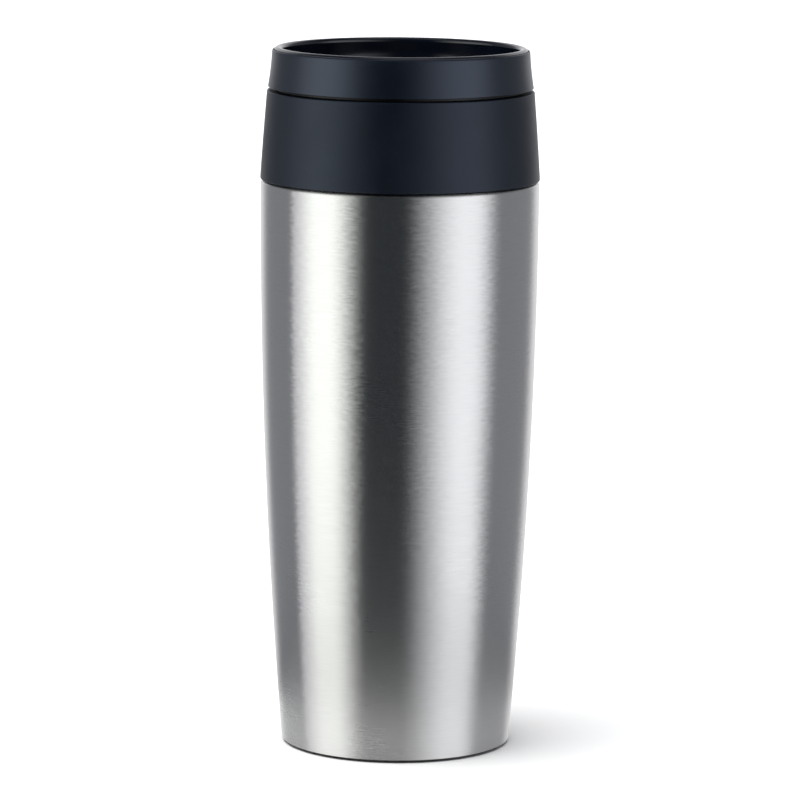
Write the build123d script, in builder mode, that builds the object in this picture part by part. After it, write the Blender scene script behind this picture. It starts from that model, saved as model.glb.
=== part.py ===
"""Insulated travel mug with a screw-in lid and a push-button drinking valve.

The mug is a double-walled steel flask with no handle. The lid screws into its
mouth on a three-start thread and is open all round its rim: pressing the
central button lowers a valve plate away from its seat, and a rotating latch
holds it there until the next press. Millimetres, +Z up, origin at the centre
of the foot on the surface that the mug stands on.
"""

from build123d import *
from math import sqrt
import os

os.makedirs("parts", exist_ok=True)

# ---- driving dimensions ----------------------------------------------------
HEIGHT = 205.0  # foot to the crest of the drinking rim
MOUTH_Z = 166.2  # top of the steel lip
BASE_R = 33.55  # outside radius of the steel at the foot
SHOULDER_R = 40.65  # outside radius of the steel under the lid
SHOULDER_Z = 165.2  # height at which the steel wall stands vertical
SHEET = 0.6  # steel thickness
VACUUM_GAP = 3.7  # between the two steel walls
FOOT_DROP = 0.5  # the rubber foot stands this far below the steel
SEAM_LOW, SEAM_HIGH = 192.4, 193.35  # shadow gap round the lid

THREAD_STARTS = 3
THREAD_LEAD = 15.0  # rise in one turn
THREAD_SWEEP = 150.0  # degrees that each thread ridge runs
MOUTH_R = 37.6  # inside radius of the mouth
PLUG_R = 36.0  # threaded part of the lid's plug
PLUG_TIP_R = 34.9  # part of the plug below the thread
PLUG_LOW = 146.0
PLUG_BORE_R = 31.6

SLIP = 0.05  # radial gap between two fixed pieces
FIT = 0.15  # gap between pieces that move past each other
RUN = 0.09  # radial clearance of the stem in its bores
BUTTON_R = 25.0
BUTTON_TOP = 196.0
TRAVEL = 5.0  # stroke of the button and the valve
LATCH_TURN = 45.0  # degrees that the latch turns over that stroke
LATCH_FINS = 4


def steel_radius(z, inset=0.0):
    """Outside radius of the steel wall at height z, less an inset."""
    drop = SHOULDER_R - BASE_R
    bend = (SHOULDER_Z**2 + drop**2) / (2 * drop)
    return SHOULDER_R - bend + sqrt(bend**2 - (z - SHOULDER_Z) ** 2) - inset


def wall(low, high, inset):
    """Three points on the steel wall's arc, from low to high, moved inward."""
    return [(steel_radius(z, inset), z) for z in (low, (low + high) / 2, high)]


def collar_radius(z):
    """Outside radius of the lid's lower band, a straight cone."""
    low, high = (COLLAR_LOW, 40.85), (SEAM_LOW, 38.95)
    return low[1] + (high[1] - low[1]) * (z - low[0]) / (high[0] - low[0])


def seat_radius(z, gap=0.0):
    """Radius of the valve's conical seat at height z, moved inward by a gap."""
    slope = (SEAT_TOP_R - SEAT_LOW_R) / (SEAT_TOP - SEAT_LOW)
    return SEAT_LOW_R + slope * (z - SEAT_LOW) - gap * sqrt(1 + slope**2)


def save(part, name):
    part.label = name
    export_step(part, f"parts/{name}.step")


# ---- outer shell: brushed steel, rolled in at the mouth --------------------
STEEL_LOW = FOOT_DROP
LIP_R = 38.6  # where shell and liner meet on top of the lip
ROLL = 1.0  # outside radius of the rolled edge

with BuildPart() as outer_shell:
    with BuildSketch(Plane.XZ):
        with BuildLine():
            outside = wall(STEEL_LOW, MOUTH_Z - ROLL, 0)
            inside = wall(STEEL_LOW, MOUTH_Z - ROLL, SHEET)
            ThreePointArc(*outside)
            RadiusArc(outside[2], (SHOULDER_R - ROLL, MOUTH_Z), -ROLL)
            Polyline(
                (SHOULDER_R - ROLL, MOUTH_Z),
                (LIP_R, MOUTH_Z),
                (LIP_R, MOUTH_Z - SHEET),
                (SHOULDER_R - ROLL, MOUTH_Z - SHEET),
            )
            RadiusArc((SHOULDER_R - ROLL, MOUTH_Z - SHEET), inside[2], ROLL - SHEET)
            ThreePointArc(*inside)
            Line(inside[0], outside[0])
        make_face()
    revolve(axis=Axis.Z)
save(outer_shell.part, "outer_shell")

# ---- inner liner: the flask, with its thread ridges rolled inward ----------
LINER_IN = SHEET + VACUUM_GAP  # from the steel's outside to the liner's outside
STEP_HIGH, STEP_LOW = 152.8, 150.8  # cone from the mouth down to the flask
FLOOR_Z = 9.0
CORNER = 7.0
LINER_CORNER_Z = FLOOR_Z + CORNER
LIP_EASE = 0.6

with BuildPart() as inner_liner:
    with BuildSketch(Plane.XZ):
        with BuildLine():
            bore = wall(LINER_CORNER_Z, STEP_LOW, LINER_IN + SHEET)
            back = wall(LINER_CORNER_Z, STEP_LOW - 0.3, LINER_IN)
            Polyline((0, FLOOR_Z), (bore[0][0] - CORNER, FLOOR_Z))
            RadiusArc((bore[0][0] - CORNER, FLOOR_Z), bore[0], -CORNER)
            ThreePointArc(*bore)
            Polyline(bore[2], (MOUTH_R, STEP_HIGH), (MOUTH_R, MOUTH_Z - LIP_EASE))
            RadiusArc(
                (MOUTH_R, MOUTH_Z - LIP_EASE), (MOUTH_R + LIP_EASE, MOUTH_Z), LIP_EASE
            )
            Polyline(
                (MOUTH_R + LIP_EASE, MOUTH_Z),
                (LIP_R, MOUTH_Z),
                (LIP_R, MOUTH_Z - SHEET),
                (MOUTH_R + SHEET, MOUTH_Z - SHEET),
                (MOUTH_R + SHEET, STEP_HIGH - 0.3),
                back[2],
            )
            ThreePointArc(*back)
            RadiusArc(
                back[0], (back[0][0] - CORNER - SHEET, FLOOR_Z - SHEET), CORNER + SHEET
            )
            Polyline(
                (back[0][0] - CORNER - SHEET, FLOOR_Z - SHEET),
                (0, FLOOR_Z - SHEET),
                (0, FLOOR_Z),
            )
        make_face()
    revolve(axis=Axis.Z)
    BEAD_Z = 156.8  # height of each ridge at its start
    BEAD_TIP_R = 36.6
    BEAD_ROOT, BEAD_TIP = 1.9, 0.9
    with BuildLine(Plane.XY.offset(BEAD_Z), mode=Mode.PRIVATE) as bead_path:
        Helix(THREAD_LEAD, THREAD_LEAD * THREAD_SWEEP / 360, MOUTH_R)
    across = Plane(bead_path.line @ 0, x_dir=(1, 0, 0), z_dir=bead_path.line % 0)
    with BuildSketch(across, mode=Mode.PRIVATE) as bead_section:
        with BuildLine():
            Polyline(
                (0.3, BEAD_ROOT / 2),
                (0, BEAD_ROOT / 2),
                (BEAD_TIP_R - MOUTH_R, BEAD_TIP / 2),
                (BEAD_TIP_R - MOUTH_R, -BEAD_TIP / 2),
                (0, -BEAD_ROOT / 2),
                (0.3, -BEAD_ROOT / 2),
                close=True,
            )
        make_face()
    bead = sweep(
        bead_section.sketch, bead_path.line, is_frenet=True, mode=Mode.PRIVATE
    )
    with PolarLocations(0, THREAD_STARTS):
        add(bead)
save(inner_liner.part, "inner_liner")

# ---- bottom pan: closes the vacuum, with its evacuation port ---------------
PAN_Z = 4.4  # underside of the pan's disc
WELL_R, WELL_RISE = 4.0, 1.2
PORT_R = 0.75

with BuildPart() as bottom_pan:
    with BuildSketch(Plane.XZ):
        with BuildLine():
            skirt = wall(STEEL_LOW, PAN_Z, SHEET + SLIP)
            ThreePointArc(*skirt)
            Polyline(
                skirt[2],
                (skirt[2][0] - SHEET, PAN_Z + SHEET),
                (WELL_R + SHEET, PAN_Z + SHEET),
                (WELL_R + SHEET, PAN_Z + WELL_RISE + SHEET),
                (PORT_R, PAN_Z + WELL_RISE + SHEET),
                (PORT_R, PAN_Z + WELL_RISE),
                (WELL_R, PAN_Z + WELL_RISE),
                (WELL_R, PAN_Z),
                (skirt[2][0] - 1.5 * SHEET, PAN_Z),
                (skirt[0][0] - SHEET, STEEL_LOW),
                skirt[0],
            )
        make_face()
    revolve(axis=Axis.Z)
save(bottom_pan.part, "bottom_pan")

# ---- vacuum seal: solder glass melted over the port ------------------------
BEAD_R = 2.6
with BuildPart() as vacuum_seal:
    with BuildSketch(Plane.XZ):
        with BuildLine():
            Polyline(
                (0, PAN_Z + 0.2),
                (BEAD_R - 0.8, PAN_Z + 0.2),
                (BEAD_R, PAN_Z + WELL_RISE - 0.4),
                (BEAD_R, PAN_Z + WELL_RISE),
                (PORT_R - SLIP, PAN_Z + WELL_RISE),
                (PORT_R - SLIP, PAN_Z + WELL_RISE + SHEET + 0.2),
                (0, PAN_Z + WELL_RISE + SHEET + 0.4),
                close=True,
            )
        make_face()
    revolve(axis=Axis.Z)
save(vacuum_seal.part, "vacuum_seal")

# ---- getter: a pressed pellet in a steel clip, inside the vacuum -----------
GETTER_X = 17.0
GETTER_R = 4.0
GETTER_HIGH = 1.5
with BuildPart() as getter_clip:
    with BuildSketch(Plane.XY.offset(PAN_Z + SHEET)):
        with Locations((GETTER_X, 0)):
            Circle(GETTER_R + SHEET)
    extrude(amount=0.4 + GETTER_HIGH)
    with BuildSketch(Plane.XY.offset(PAN_Z + SHEET + 0.4)):
        with Locations((GETTER_X, 0)):
            Circle(GETTER_R + SLIP)
    extrude(amount=GETTER_HIGH, mode=Mode.SUBTRACT)
save(getter_clip.part, "getter_clip")

with BuildPart() as getter_pellet:
    with BuildSketch(Plane.XY.offset(PAN_Z + SHEET + 0.4)):
        with Locations((GETTER_X, 0)):
            Circle(GETTER_R)
    extrude(amount=GETTER_HIGH - 0.2)
    chamfer(getter_pellet.faces().sort_by(Axis.Z)[-1].edges(), 0.3)
save(getter_pellet.part, "getter_pellet")

# ---- base cover: brushed disc pressed in over the vacuum seal --------------
COVER_R = 29.6
COVER_Z = 2.2
with BuildPart() as base_cover:
    with BuildSketch(Plane.XZ):
        with BuildLine():
            Polyline(
                (0, COVER_Z + 0.4),
                (12.0, COVER_Z + 0.4),
                (13.0, COVER_Z),
                (COVER_R, COVER_Z),
                (COVER_R, PAN_Z - SLIP),
                (COVER_R - SHEET, PAN_Z - SLIP),
                (COVER_R - SHEET, COVER_Z + SHEET),
                (13.2, COVER_Z + SHEET),
                (12.2, COVER_Z + SHEET + 0.4),
                (0, COVER_Z + SHEET + 0.4),
                close=True,
            )
        make_face()
    revolve(axis=Axis.Z)
save(base_cover.part, "base_cover")

# ---- foot ring: silicone, keyed into the rim of the base -------------------
FOOT_IN_R = 29.0
FOOT_OUT_R = 33.1
KEY_IN_R, KEY_OUT_R = 29.7, 32.2
with BuildPart() as foot_ring:
    with BuildSketch(Plane.XZ):
        with BuildLine():
            Polyline(
                (FOOT_IN_R, 0.4),
                (FOOT_IN_R + 0.4, 0),
                (FOOT_OUT_R - 0.2, 0),
                (FOOT_OUT_R, 0.2),
                (FOOT_OUT_R, STEEL_LOW - SLIP),
                (KEY_OUT_R, STEEL_LOW - SLIP),
                (KEY_OUT_R, PAN_Z - 0.2),
                (KEY_IN_R, PAN_Z - 0.2),
                (KEY_IN_R, 1.8),
                (FOOT_IN_R, 1.8),
                close=True,
            )
        make_face()
    revolve(axis=Axis.Z)
save(foot_ring.part, "foot_ring")

# ---- lid core: threaded plug, flange and neck in one moulding --------------
FLANGE_Z = MOUTH_Z + FIT
COLLAR_LOW = MOUTH_Z + 0.35
COLLAR_WALL = 1.5
GROOVE_LOW, GROOVE_HIGH, GROOVE_R = 147.0, 150.8, 33.2
THREAD_LOW = 153.7
SPIGOT_IN_R, SPIGOT_OUT_R, SPIGOT_HIGH = 34.4, 35.9, 195.0
NECK_WALL = 1.9
RIDGE_TIP_R = 37.25
RIDGE_ROOT, RIDGE_TIP = 1.9, 0.9
RIDGE_DROP = (BEAD_ROOT + RIDGE_ROOT) / 2 - 0.25  # below the liner's ridges

with BuildPart() as lid_core:
    with BuildSketch(Plane.XZ):
        with BuildLine():
            neck_low = collar_radius(COLLAR_LOW) - COLLAR_WALL - SLIP
            neck_high = collar_radius(SEAM_LOW) - COLLAR_WALL - SLIP
            Polyline(
                (PLUG_BORE_R, PLUG_LOW),
                (PLUG_TIP_R - 0.5, PLUG_LOW),
                (PLUG_TIP_R, PLUG_LOW + 0.5),
                (PLUG_TIP_R, GROOVE_LOW),
                (GROOVE_R, GROOVE_LOW),
                (GROOVE_R, GROOVE_HIGH),
                (PLUG_TIP_R, GROOVE_HIGH),
                (PLUG_TIP_R, THREAD_LOW - 0.6),
                (PLUG_R, THREAD_LOW),
                (PLUG_R, FLANGE_Z),
                (neck_low, FLANGE_Z),
                (neck_high, SEAM_LOW),
                (SPIGOT_OUT_R, SEAM_LOW),
                (SPIGOT_OUT_R, SPIGOT_HIGH),
                (SPIGOT_IN_R, SPIGOT_HIGH),
                (SPIGOT_IN_R, 190.5),
                (neck_high - NECK_WALL, 189.0),
                (neck_low - NECK_WALL, FLANGE_Z + 2.2),
                (33.4, FLANGE_Z + 1.8),
                (33.4, 155.0),
                (PLUG_BORE_R, 153.6),
                close=True,
            )
        make_face()
    revolve(axis=Axis.Z)
    ridge_start = Plane.XY.offset(BEAD_Z - RIDGE_DROP)
    with BuildLine(ridge_start, mode=Mode.PRIVATE) as ridge_path:
        Helix(THREAD_LEAD, THREAD_LEAD * THREAD_SWEEP / 360, PLUG_R)
    across = Plane(ridge_path.line @ 0, x_dir=(1, 0, 0), z_dir=ridge_path.line % 0)
    with BuildSketch(across, mode=Mode.PRIVATE) as ridge_section:
        with BuildLine():
            Polyline(
                (-0.4, RIDGE_ROOT / 2),
                (0, RIDGE_ROOT / 2),
                (RIDGE_TIP_R - PLUG_R, RIDGE_TIP / 2),
                (RIDGE_TIP_R - PLUG_R, -RIDGE_TIP / 2),
                (0, -RIDGE_ROOT / 2),
                (-0.4, -RIDGE_ROOT / 2),
                close=True,
            )
        make_face()
    ridge = sweep(
        ridge_section.sketch, ridge_path.line, is_frenet=True, mode=Mode.PRIVATE
    )
    with PolarLocations(0, THREAD_STARTS):
        add(ridge)
save(lid_core.part, "lid_core")

# ---- lid gasket: two-lipped silicone ring in the plug's groove -------------
GASKET_LIP_R = 35.5
with BuildPart() as lid_gasket:
    with BuildSketch(Plane.XZ):
        with BuildLine():
            Polyline(
                (GROOVE_R + 0.1, GROOVE_LOW + 0.1),
                (34.7, GROOVE_LOW + 0.1),
                (GASKET_LIP_R, GROOVE_LOW + 0.6),
                (GASKET_LIP_R, GROOVE_LOW + 1.0),
                (35.0, GROOVE_LOW + 1.5),
                (35.0, GROOVE_HIGH - 1.5),
                (GASKET_LIP_R, GROOVE_HIGH - 1.0),
                (GASKET_LIP_R, GROOVE_HIGH - 0.6),
                (34.7, GROOVE_HIGH - 0.1),
                (GROOVE_R + 0.1, GROOVE_HIGH - 0.1),
                close=True,
            )
        make_face()
    revolve(axis=Axis.Z)
save(lid_gasket.part, "lid_gasket")

# ---- collar sleeve: soft-touch band round the lid's neck -------------------
with BuildPart() as collar_sleeve:
    with BuildSketch(Plane.XZ):
        with BuildLine():
            low_r, high_r = collar_radius(COLLAR_LOW), collar_radius(SEAM_LOW)
            ThreePointArc(
                (low_r, COLLAR_LOW),
                ((low_r + high_r) / 2 + 0.06, (COLLAR_LOW + SEAM_LOW) / 2),
                (high_r, SEAM_LOW),
            )
            Polyline(
                (high_r, SEAM_LOW),
                (high_r - COLLAR_WALL, SEAM_LOW),
                (low_r - COLLAR_WALL, COLLAR_LOW),
                (low_r, COLLAR_LOW),
            )
        make_face()
    revolve(axis=Axis.Z)
    fillet(collar_sleeve.edges().group_by(Axis.Z)[0].sort_by(SortBy.RADIUS)[-1], 0.4)
    fillet(collar_sleeve.edges().group_by(Axis.Z)[-1].sort_by(SortBy.RADIUS)[-1], 0.3)
save(collar_sleeve.part, "collar_sleeve")

# ---- drinking ring: glossy lip all round, snapped over the spigot ----------
RING_IN_LOW, RING_IN_HIGH = 33.2, 34.45
RING_OUT_R = 36.95
RING_LOW = 188.0
SLOT_HIGH = SPIGOT_HIGH + 1.25
CREST_R = 35.75
with BuildPart() as drinking_ring:
    with BuildSketch(Plane.XZ):
        with BuildLine():
            Spline(
                (RING_IN_LOW, RING_LOW),
                (RING_IN_HIGH - 0.55, SLOT_HIGH),
                (RING_IN_HIGH - 0.1, HEIGHT - 5.2),
                (RING_IN_HIGH, HEIGHT - 1.3),
            )
            Spline(
                (RING_IN_HIGH, HEIGHT - 1.3),
                (RING_IN_HIGH + 0.35, HEIGHT - 0.35),
                (CREST_R, HEIGHT),
                (RING_OUT_R, HEIGHT - 0.55),
                tangents=((0.02, 1), (1, -0.7)),
            )
            Polyline(
                (RING_OUT_R, HEIGHT - 0.55),
                (RING_OUT_R, SEAM_HIGH),
                (SPIGOT_OUT_R + SLIP, SEAM_HIGH),
                (SPIGOT_OUT_R + SLIP, SLOT_HIGH),
                (SPIGOT_IN_R - SLIP, SLOT_HIGH),
                (SPIGOT_IN_R - SLIP, RING_LOW),
                (RING_IN_LOW, RING_LOW),
            )
        make_face()
    revolve(axis=Axis.Z)
save(drinking_ring.part, "drinking_ring")

# ---- ring seal: square-section silicone ring on top of the spigot ----------
with BuildPart() as ring_seal:
    with BuildSketch(Plane.XZ):
        with Locations((CREST_R - 0.6, SPIGOT_HIGH + 0.6)):
            RectangleRounded(1.3, 1.1, 0.3)
    revolve(axis=Axis.Z)
save(ring_seal.part, "ring_seal")

# ---- ring sleeve: soft-touch skin, flared towards the seam -----------------
with BuildPart() as ring_sleeve:
    with BuildSketch(Plane.XZ):
        with BuildLine():
            ThreePointArc((38.72, SEAM_HIGH), (37.98, 198.4), (37.55, HEIGHT - 1.3))
            RadiusArc((37.55, HEIGHT - 1.3), (37.2, HEIGHT - 0.7), -0.7)
            Polyline(
                (37.2, HEIGHT - 0.7),
                (RING_OUT_R + SLIP, HEIGHT - 0.95),
                (RING_OUT_R + SLIP, SEAM_HIGH),
                (38.72, SEAM_HIGH),
            )
        make_face()
    revolve(axis=Axis.Z)
    fillet(ring_sleeve.edges().group_by(Axis.Z)[0].sort_by(SortBy.RADIUS)[-1], 0.3)
save(ring_sleeve.part, "ring_sleeve")

# ---- flow funnel: inner wall of the lid, with the valve's seat -------------
SEAT_LOW_R, SEAT_LOW = 29.3, 146.2
SEAT_TOP_R, SEAT_TOP = 27.2, 149.4
FUNNEL_R = 29.6
FUNNEL_OUT_R = PLUG_BORE_R - SLIP
LEDGE_R, LEDGE_LOW, LEDGE_HIGH = 28.3, 159.6, 162.0
FLARE_LOW, FLARE_HIGH = 176.0, RING_LOW - SLIP
with BuildPart() as flow_funnel:
    with BuildSketch(Plane.XZ):
        with BuildLine():
            Polyline(
                (SEAT_LOW_R, SEAT_LOW),
                (SEAT_TOP_R, SEAT_TOP),
                (SEAT_TOP_R, SEAT_TOP + 0.8),
                (FUNNEL_R, SEAT_TOP + 3.2),
                (FUNNEL_R, LEDGE_LOW),
                (LEDGE_R, LEDGE_LOW + 0.9),
                (LEDGE_R, LEDGE_HIGH),
                (FUNNEL_R, LEDGE_HIGH),
                (FUNNEL_R, FLARE_LOW),
                (RING_IN_LOW, FLARE_HIGH),
                (SPIGOT_IN_R - 0.1, FLARE_HIGH),
                (SPIGOT_IN_R - 0.1, FLARE_HIGH - 2.2),
                (FUNNEL_OUT_R, FLARE_LOW - 0.6),
                (FUNNEL_OUT_R, SEAT_LOW),
                close=True,
            )
        make_face()
    revolve(axis=Axis.Z)
save(flow_funnel.part, "flow_funnel")

# ---- valve bridge: hub on four arms, with a guide for the stem -------------
HUB_R, HUB_BORE_R = 11.5, 10.0
HUB_LOW, HUB_FLOOR, HUB_HIGH = 159.9, LEDGE_HIGH, 185.8
NOSE_R, NOSE_BORE_R, NOSE_LOW = 6.6, 4.6, 149.9
STEM_R, STEM_SEAL_R = 3.2, 4.4
ARM_THICK, ARM_HIGH = 2.4, 8.0
ARM_R = FUNNEL_R - 0.3
PAD_LONG, PAD_WIDE, PAD_HIGH = 1.8, 8.0, 4.0  # at the end of each arm
with BuildPart() as valve_bridge:
    with BuildSketch(Plane.XZ):
        with BuildLine():
            Polyline(
                (STEM_R + RUN, HUB_LOW),
                (NOSE_BORE_R, HUB_LOW),
                (NOSE_BORE_R, NOSE_LOW),
                (NOSE_R - 0.4, NOSE_LOW),
                (NOSE_R, NOSE_LOW + 0.4),
                (NOSE_R, HUB_LOW - 2.0),
                (HUB_R, HUB_LOW),
                (HUB_R, HUB_HIGH),
                (HUB_BORE_R, HUB_HIGH),
                (HUB_BORE_R, HUB_FLOOR),
                (STEM_R + RUN, HUB_FLOOR),
                close=True,
            )
        make_face()
    revolve(axis=Axis.Z)
    with BuildSketch(Plane.XY.offset(LEDGE_HIGH)):
        with PolarLocations((HUB_R + ARM_R) / 2 - 0.3, 4, start_angle=45):
            Rectangle(ARM_R - HUB_R + 0.6, ARM_THICK)
    extrude(amount=ARM_HIGH)
    with BuildSketch(Plane.XY.offset(LEDGE_HIGH)):
        with PolarLocations(ARM_R - PAD_LONG / 2, 4, start_angle=45):
            Rectangle(PAD_LONG, PAD_WIDE)
    extrude(amount=PAD_HIGH)
save(valve_bridge.part, "valve_bridge")

# ---- latch sleeve: fixed, with a helical slot for each fin of the latch ----
FIN_HIGH, FIN_TOP = 3.0, 181.2
FIN_TIP_R, FIN_WIDE = 9.75, 2.0
LATCH_SLEEVE_IN, LATCH_SLEEVE_OUT = 8.0, HUB_BORE_R - SLIP
LATCH_SLEEVE_LOW = FIN_TOP - TRAVEL + 0.2
LATCH_SLEEVE_HIGH = 184.6
SLOT_LEAD = TRAVEL * 360 / LATCH_TURN
SLOT_WIDE = 4.3
SLOT_MID_R = 9.0
SLOT_SWEEP = 96.0  # from past the fin down through the sleeve's lower edge
SLOT_PAST = 11.0  # degrees that it runs on beyond the fin's middle
with BuildPart() as latch_sleeve:
    with BuildSketch(Plane.XY.offset(LATCH_SLEEVE_LOW)):
        Circle(LATCH_SLEEVE_OUT)
        Circle(LATCH_SLEEVE_IN, mode=Mode.SUBTRACT)
    extrude(amount=LATCH_SLEEVE_HIGH - LATCH_SLEEVE_LOW)
    slot_drop = SLOT_LEAD * SLOT_SWEEP / 360
    slot_top = FIN_TOP - FIN_HIGH / 2 + 0.1 + SLOT_LEAD * SLOT_PAST / 360
    slot_start = Plane.XY.offset(slot_top - slot_drop)
    with BuildLine(slot_start, mode=Mode.PRIVATE) as slot_path:
        Helix(SLOT_LEAD, slot_drop, SLOT_MID_R)
    across = Plane(slot_path.line @ 0, x_dir=(1, 0, 0), z_dir=slot_path.line % 0)
    with BuildSketch(across, mode=Mode.PRIVATE) as slot_section:
        Rectangle(3.4, SLOT_WIDE)
    slot = sweep(
        slot_section.sketch, slot_path.line, is_frenet=True, mode=Mode.PRIVATE
    )
    with PolarLocations(0, LATCH_FINS, start_angle=SLOT_PAST - SLOT_SWEEP):
        add(slot, mode=Mode.SUBTRACT)
save(latch_sleeve.part, "latch_sleeve")

# ---- latch rotor: rides on the stem's flange, with fins in those slots -----
ROTOR_LOW, ROTOR_R = 176.75, 7.7
with BuildPart() as latch_rotor:
    with BuildSketch(Plane.XY.offset(ROTOR_LOW)):
        Circle(ROTOR_R)
        Circle(STEM_R + RUN, mode=Mode.SUBTRACT)
    extrude(amount=FIN_TOP - ROTOR_LOW)
    with BuildSketch(Plane.XY.offset(FIN_TOP - FIN_HIGH)):
        with PolarLocations(FIN_TIP_R - 1.5, LATCH_FINS):
            Rectangle(3.0, FIN_WIDE)
    extrude(amount=FIN_HIGH)
    chamfer(latch_rotor.edges().group_by(Axis.Z)[-1].filter_by(Axis.Y), 0.3)
save(latch_rotor.part, "latch_rotor")

# ---- hub cap: closes the hub over the latch --------------------------------
with BuildPart() as hub_cap:
    with BuildSketch(Plane.XZ):
        with BuildLine():
            Polyline(
                (LATCH_SLEEVE_IN, LATCH_SLEEVE_HIGH + SLIP),
                (HUB_BORE_R - SLIP, LATCH_SLEEVE_HIGH + SLIP),
                (HUB_BORE_R - SLIP, HUB_HIGH + SLIP),
                (HUB_R, HUB_HIGH + SLIP),
                (HUB_R, HUB_HIGH + 1.0),
                (HUB_R - 0.4, HUB_HIGH + 1.4),
                (LATCH_SLEEVE_IN, HUB_HIGH + 1.4),
                close=True,
            )
        make_face()
    revolve(axis=Axis.Z)
save(hub_cap.part, "hub_cap")

# ---- plunger stem: joins the button to the valve plate ---------------------
FLANGE_R, FLANGE_LOW, FLANGE_TOP = 7.0, 175.4, ROTOR_LOW - FIT
STEM_LOW, STEM_HIGH = 141.4, 192.0
PLATE_TOP = 148.2
SHOULDER_STEM_Z = 159.0
RING_GROOVE_LOW, RING_GROOVE_HIGH, RING_GROOVE_R = 156.0, 157.8, 3.3
THREAD_R = 2.5
with BuildPart() as plunger_stem:
    with BuildSketch(Plane.XZ):
        with BuildLine():
            Polyline(
                (0, STEM_LOW),
                (THREAD_R - 0.4, STEM_LOW),
                (THREAD_R, STEM_LOW + 0.4),
                (THREAD_R, PLATE_TOP),
                (STEM_SEAL_R, PLATE_TOP),
                (STEM_SEAL_R, RING_GROOVE_LOW),
                (RING_GROOVE_R, RING_GROOVE_LOW),
                (RING_GROOVE_R, RING_GROOVE_HIGH),
                (STEM_SEAL_R, RING_GROOVE_HIGH),
                (STEM_SEAL_R, SHOULDER_STEM_Z - 0.4),
                (STEM_SEAL_R - 0.4, SHOULDER_STEM_Z),
                (STEM_R, SHOULDER_STEM_Z),
                (STEM_R, FLANGE_LOW),
                (FLANGE_R, FLANGE_LOW),
                (FLANGE_R, FLANGE_TOP),
                (STEM_R, FLANGE_TOP),
                (STEM_R, STEM_HIGH - 0.5),
                (STEM_R - 0.5, STEM_HIGH),
                (0, STEM_HIGH),
                close=True,
            )
        make_face()
    revolve(axis=Axis.Z)
save(plunger_stem.part, "plunger_stem")

# ---- stem seal: O-ring sliding in the nose of the bridge -------------------
with BuildPart() as stem_seal:
    with BuildSketch(Plane.XZ):
        groove_mid = (RING_GROOVE_LOW + RING_GROOVE_HIGH) / 2
        with Locations((RING_GROOVE_R + 0.64, groove_mid)):
            Circle(0.6)
    revolve(axis=Axis.Z)
save(stem_seal.part, "stem_seal")

# ---- return spring: lifts the stem's flange from the floor of the hub ------
WIRE_R, COIL_R, COILS = 0.45, 5.6, 5.5
SPRING_LOW, SPRING_HIGH = HUB_FLOOR + 0.1, FLANGE_LOW - 0.1
with BuildPart() as return_spring:
    rise = SPRING_HIGH - SPRING_LOW - 2 * WIRE_R
    with BuildLine(Plane.XY.offset(SPRING_LOW + WIRE_R)) as coil:
        Helix(rise / COILS, rise, COIL_R)
    with BuildSketch(Plane(coil.line @ 0, z_dir=coil.line % 0)):
        Circle(WIRE_R)
    sweep(path=coil.line, is_frenet=True)
save(return_spring.part, "return_spring")

# ---- button: thumb dish, skirt and a boss for the stem ---------------------
BUTTON_WALL = 1.6
SKIRT_LOW = 186.5
BOSS_R, BOSS_LOW = 6.0, 184.0
DISH = 1.1  # depth of the thumb dish
with BuildPart() as push_button:
    with BuildSketch(Plane.XZ):
        with BuildLine():
            underside = BUTTON_TOP - DISH - 2.0
            Polyline(
                (0, underside),
                (0, BUTTON_TOP - DISH),
            )
            ThreePointArc(
                (0, BUTTON_TOP - DISH),
                (12.0, BUTTON_TOP - 0.84 * DISH),
                (BUTTON_R - 3.2, BUTTON_TOP - 0.25),
            )
            Polyline(
                (BUTTON_R - 3.2, BUTTON_TOP - 0.25),
                (BUTTON_R - 2.6, BUTTON_TOP),
                (BUTTON_R - 1.0, BUTTON_TOP),
            )
            RadiusArc(
                (BUTTON_R - 1.0, BUTTON_TOP), (BUTTON_R, BUTTON_TOP - 1.0), 1.0
            )
            Polyline(
                (BUTTON_R, BUTTON_TOP - 1.0),
                (BUTTON_R, SKIRT_LOW),
                (BUTTON_R - BUTTON_WALL, SKIRT_LOW),
                (BUTTON_R - BUTTON_WALL, underside),
                (BOSS_R, underside),
                (BOSS_R, BOSS_LOW),
                (STEM_R + SLIP, BOSS_LOW),
                (STEM_R + SLIP, STEM_HIGH + SLIP),
                (0, STEM_HIGH + SLIP),
                (0, underside),
            )
        make_face()
    revolve(axis=Axis.Z)
save(push_button.part, "push_button")

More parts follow.
